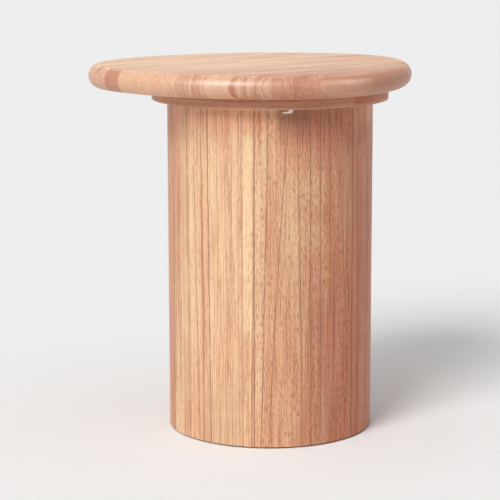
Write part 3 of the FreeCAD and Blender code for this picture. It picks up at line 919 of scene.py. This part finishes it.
def add_cylinder(name, radius, low, high, place, vertices=48):
    """A cylinder between two heights, standing at a place in plan."""
    bpy.ops.mesh.primitive_cylinder_add(
        vertices=vertices, radius=radius, depth=high - low, location=(*place, (low + high) / 2),
    )
    piece = bpy.context.object
    piece.name = name
    bpy.ops.object.transform_apply(location=True, rotation=True, scale=True)
    return piece


def repeated(piece, count):
    """Copies a piece round the drum's axis and joins the copies to it."""
    pieces = [piece]
    for _ in range(count - 1):
        select_only(pieces[-1])
        bpy.ops.object.duplicate()
        bpy.ops.transform.rotate(
            value=2 * math.pi / count, orient_axis="Z",
            center_override=(DRUM_AXIS.x, DRUM_AXIS.y, 0),
        )
        pieces.append(bpy.context.object)
        bpy.ops.object.transform_apply(location=True, rotation=True, scale=True)
    select_only(*reversed(pieces))
    bpy.ops.object.join()
    return piece


def on_drum(bearing, radial, across=0.0):
    """A place in plan from a bearing about the drum's axis, in degrees, and distances in metres."""
    turn = math.radians(bearing)
    x = DRUM_AXIS.x + radial * math.cos(turn) - across * math.sin(turn)
    y = DRUM_AXIS.y + radial * math.sin(turn) + across * math.cos(turn)
    return x, y


def settle(piece, material, slot, *nodes):
    """Gives a piece its material, and stands it in for its nodes. The slot is not used."""
    select_only(piece)
    bpy.ops.object.shade_smooth_by_angle(angle=math.radians(35))
    piece.data.materials.clear()
    piece.data.materials.append(material)
    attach(piece, "root")
    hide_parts(*nodes)


def finish_node(node, material):
    """Gives a CAD node its finish."""
    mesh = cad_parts[node].data
    mesh.materials.clear()
    mesh.materials.append(material)


class ACCENT_TABLE_OT_stage(bpy.types.Operator):
    """Set up the floor, the lamps, the backdrop and the camera"""

    bl_idname = "accent_table.stage"
    bl_label = "Stage"

    def execute(self, context):
        stage = context.scene.accent_table_stage
        context.scene.view_settings.view_transform = "Standard"
        self.add_floor(stage)
        self.set_world(stage)
        bearing, height, spread = stage.key_azimuth, stage.key_elevation, stage.key_spread
        self.add_lamp("key", stage.key, bearing, height, spread, "diffuse")
        # Other lamps: strength, and bearing left of the front, height and softness in degrees
        for name, strength, degrees, use in (
            ("overhead", stage.overhead, (0, 88, 100), "diffuse"),
            ("key_gloss", stage.gloss, (28, 33, 28), "glossy"),
            ("side_gloss", stage.side, (-70, 30, 24), "glossy"),
        ):
            self.add_lamp(name, strength, *(math.radians(angle) for angle in degrees), use)
        self.add_camera(context.scene, stage)
        return {"FINISHED"}

    def add_floor(self, stage):
        bpy.ops.mesh.primitive_plane_add(size=80, location=(0, 0, 0))
        floor = bpy.context.object
        floor.name = "floor"
        material, _, shader = new_material("floor_paper")
        fill(shader["Base Color"], (stage.floor, stage.floor, stage.floor))
        fill(shader["Roughness"], 1.0)
        fill(shader["Specular IOR Level"], 0.0)
        floor.data.materials.append(material)

    def set_world(self, stage):
        world = bpy.data.worlds.new("backdrop")
        bpy.context.scene.world = world
        world.use_nodes = True
        tree = world.node_tree
        back = next(node for node in tree.nodes if node.type == "BACKGROUND")
        path = tree.nodes.new("ShaderNodeLightPath").outputs
        seen = Field(path["Is Camera Ray"])
        for ray in ("Is Glossy Ray", "Is Transmission Ray"):
            seen = seen.math("MAXIMUM", Field(path[ray]))
        sockets = {"Value": seen, "To Min": stage.ambient, "To Max": stage.floor}
        fill(back.inputs["Strength"], put(tree, "ShaderNodeMapRange", sockets)[0])
        fill(back.inputs["Color"], (1, 1, 1))

    def add_lamp(self, name, strength, azimuth, elevation, spread, use):
        bpy.ops.object.light_add(type="SUN", location=(0, 0, 2))
        lamp = bpy.context.object
        lamp.name = name
        lamp.data.energy = strength
        lamp.data.angle = spread
        lamp.rotation_euler = (math.pi / 2 - elevation, 0, -azimuth)
        lamp.visible_diffuse = use == "diffuse"
        lamp.visible_glossy = use == "glossy"

    def add_camera(self, scene, stage):
        place = (DRUM_AXIS.x, DRUM_AXIS.y - stage.distance, stage.height)
        bpy.ops.object.camera_add(location=place, rotation=(math.pi / 2 - stage.pitch, 0, 0))
        camera = bpy.context.object
        camera.name = "camera"
        camera.data.sensor_width = 36
        camera.data.lens = stage.lens
        camera.data.shift_x = stage.shift
        camera.data.clip_end = 200
        scene.camera = camera


class ACCENT_TABLE_OT_slab(bpy.types.Operator):
    """Finish the staves of the slab, each with its own tone and figure"""

    bl_idname = "accent_table.slab"
    bl_label = "Slab Staves"

    def execute(self, context):
        wood = context.scene.accent_table_wood
        for number in range(1, len(STAVES) + 1):
            finish_node(f"top_stave_{number:02d}", stave_material(number, wood))
        return {"FINISHED"}


class ACCENT_TABLE_OT_drum(bpy.types.Operator):
    """Finish the drum's veneer, leaf by leaf, and its shell"""

    bl_idname = "accent_table.drum"
    bl_label = "Drum"

    def execute(self, context):
        wood = context.scene.accent_table_wood
        for index in range(len(LEAVES)):
            finish_node(f"drum_veneer_leaf_{index + 1}", leaf_material(index, wood))
        finish_node("drum_shell", ply_material(wood))
        return {"FINISHED"}


class ACCENT_TABLE_OT_boards(bpy.types.Operator):
    """Finish the sub-top, its edge band, the formers and the battens"""

    bl_idname = "accent_table.boards"
    bl_label = "Boards and Battens"

    def execute(self, context):
        wood = context.scene.accent_table_wood
        board = board_material(wood)
        for node in BOARDS:
            finish_node(node, board)
        for index in range(2):
            finish_node(f"subtop_band_{'ab'[index]}", band_material(index, wood))
        return {"FINISHED"}


class ACCENT_TABLE_OT_clips(bpy.types.Operator):
    """Ease the edges of the bent clips that hold the sub-top to the drum"""

    bl_idname = "accent_table.clips"
    bl_label = "Clips"

    def execute(self, context):
        plated = metal_material("clip_nickel", (0.93, 0.88, 0.79), 0.32)
        for number in range(1, CLIP_COUNT + 1):
            node = f"table_clip_{number}"
            clip = bpy.data.objects.new(f"eased_clip_{number}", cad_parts[node].data.copy())
            context.collection.objects.link(clip)
            select_only(clip)
            bpy.ops.object.mode_set(mode="EDIT")
            bpy.ops.mesh.select_all(action="SELECT")
            bpy.ops.mesh.remove_doubles(threshold=1e-6)
            bpy.ops.mesh.dissolve_limited(angle_limit=math.radians(2))
            bpy.ops.mesh.normals_make_consistent(inside=False)
            select_corners(clip, CLIP_THICKNESS)
            bpy.ops.mesh.bevel(offset=CLIP_CORNER, segments=5, affect="EDGES")
            bpy.ops.object.mode_set(mode="OBJECT")
            bevel = clip.modifiers.new("eased", "BEVEL")
            bevel.width = CLIP_EDGE
            bevel.segments = 3
            bevel.limit_method = "ANGLE"
            bevel.angle_limit = math.radians(40)
            apply_modifiers(clip)
            settle(clip, plated, "clip_metal", node)
        return {"FINISHED"}


class ACCENT_TABLE_OT_screws(bpy.types.Operator):
    """Model the round-headed screws of the clips, with crossed recesses"""

    bl_idname = "accent_table.screws"
    bl_label = "Screws"

    def execute(self, context):
        zinc = metal_material("screw_zinc", (0.66, 0.66, 0.67), 0.30)
        place = on_drum(CLIP_BEARING, SCREW_REACH, SCREW_ACROSS)
        high = SHELL_BOX[1].z - CLIP_THICKNESS
        low = high - HEAD_HEIGHT
        screw = add_cylinder("clip_screw_heads", HEAD_RADIUS, low, high, place)
        bpy.ops.object.mode_set(mode="EDIT")
        select_faces(screw, lambda centre, normal: normal.z > 0.9)
        for inset, rise in ((HEAD_RADIUS - SHANK_RADIUS, SHANK_LENGTH), (TIP_INSET, TIP_LENGTH)):
            bpy.ops.mesh.inset(thickness=inset)
            bpy.ops.mesh.extrude_region_move(TRANSFORM_OT_translate={"value": (0, 0, rise)})
        select_faces(screw, lambda centre, normal: normal.z < -0.9 and centre.z < low + TOUCHING)
        bpy.ops.mesh.bevel(offset=HEAD_CROWN, segments=5, affect="EDGES")
        bpy.ops.object.mode_set(mode="OBJECT")
        cutters = []
        for size in ((RECESS_LENGTH, RECESS_WIDTH), (RECESS_WIDTH, RECESS_LENGTH)):
            bpy.ops.mesh.primitive_cube_add(size=1, location=(*place, low))
            cutter = bpy.context.object
            cutter.scale = (*size, 2 * RECESS_DEPTH)
            bpy.ops.object.transform_apply(location=True, rotation=True, scale=True)
            cut = screw.modifiers.new("recess", "BOOLEAN")
            cut.object = cutter
            cut.solver = "EXACT"
            cutters.append(cutter)
        apply_modifiers(screw)
        for cutter in cutters:
            bpy.data.objects.remove(cutter)
        settle(repeated(screw, CLIP_COUNT), zinc, "screw_steel", "clip_screws")
        for node in ("top_screws", "ring_screws"):
            finish_node(node, zinc)
        return {"FINISHED"}


class ACCENT_TABLE_OT_pads(bpy.types.Operator):
    """Model the soft-edged felt pads under the drum"""

    bl_idname = "accent_table.pads"
    bl_label = "Felt Pads"

    def execute(self, context):
        place = on_drum(VENEER_SEAM, DRUM_RADIUS - PAD_INSET)
        pad = add_cylinder("felt_pads", PAD_RADIUS, 0, SHELL_BOX[0].z, place, vertices=64)
        bpy.ops.object.mode_set(mode="EDIT")
        select_faces(pad, lambda centre, normal: normal.z < -0.9)
        bpy.ops.mesh.bevel(offset=PAD_EDGE, segments=4, affect="EDGES")
        bpy.ops.object.mode_set(mode="OBJECT")
        settle(repeated(pad, PAD_COUNT), felt_material(), "foot_pad", "foot_pads")
        return {"FINISHED"}


OPERATORS = (
    ACCENT_TABLE_OT_stage,
    ACCENT_TABLE_OT_slab,
    ACCENT_TABLE_OT_drum,
    ACCENT_TABLE_OT_boards,
    ACCENT_TABLE_OT_clips,
    ACCENT_TABLE_OT_screws,
    ACCENT_TABLE_OT_pads,
)


class ACCENT_TABLE_PT_panel(bpy.types.Panel):
    """Lists the table's finishes and pieces"""

    bl_label = "Accent Table"
    bl_idname = "ACCENT_TABLE_PT_panel"
    bl_space_type = "VIEW_3D"
    bl_region_type = "UI"
    bl_category = "Accent Table"

    def draw(self, context):
        for group in (context.scene.accent_table_wood, context.scene.accent_table_stage):
            box = self.layout.box()
            for name in group.__annotations__:
                box.prop(group, name)
        for operator in OPERATORS:
            self.layout.operator(operator.bl_idname)


CLASSES = (AccentTableWood, AccentTableStage, *OPERATORS, ACCENT_TABLE_PT_panel)


def register():
    for cls in CLASSES:
        bpy.utils.register_class(cls)
    bpy.types.Scene.accent_table_wood = bpy.props.PointerProperty(type=AccentTableWood)
    bpy.types.Scene.accent_table_stage = bpy.props.PointerProperty(type=AccentTableStage)


def unregister():
    del bpy.types.Scene.accent_table_stage
    del bpy.types.Scene.accent_table_wood
    for cls in reversed(CLASSES):
        bpy.utils.unregister_class(cls)


def main():
    register()
    bpy.ops.object.select_all(action="DESELECT")
    bpy.ops.accent_table.stage()
    bpy.ops.accent_table.slab()
    bpy.ops.accent_table.drum()
    bpy.ops.accent_table.boards()
    bpy.ops.accent_table.clips()
    bpy.ops.accent_table.screws()
    bpy.ops.accent_table.pads()


if __name__ == "__main__":
    main()
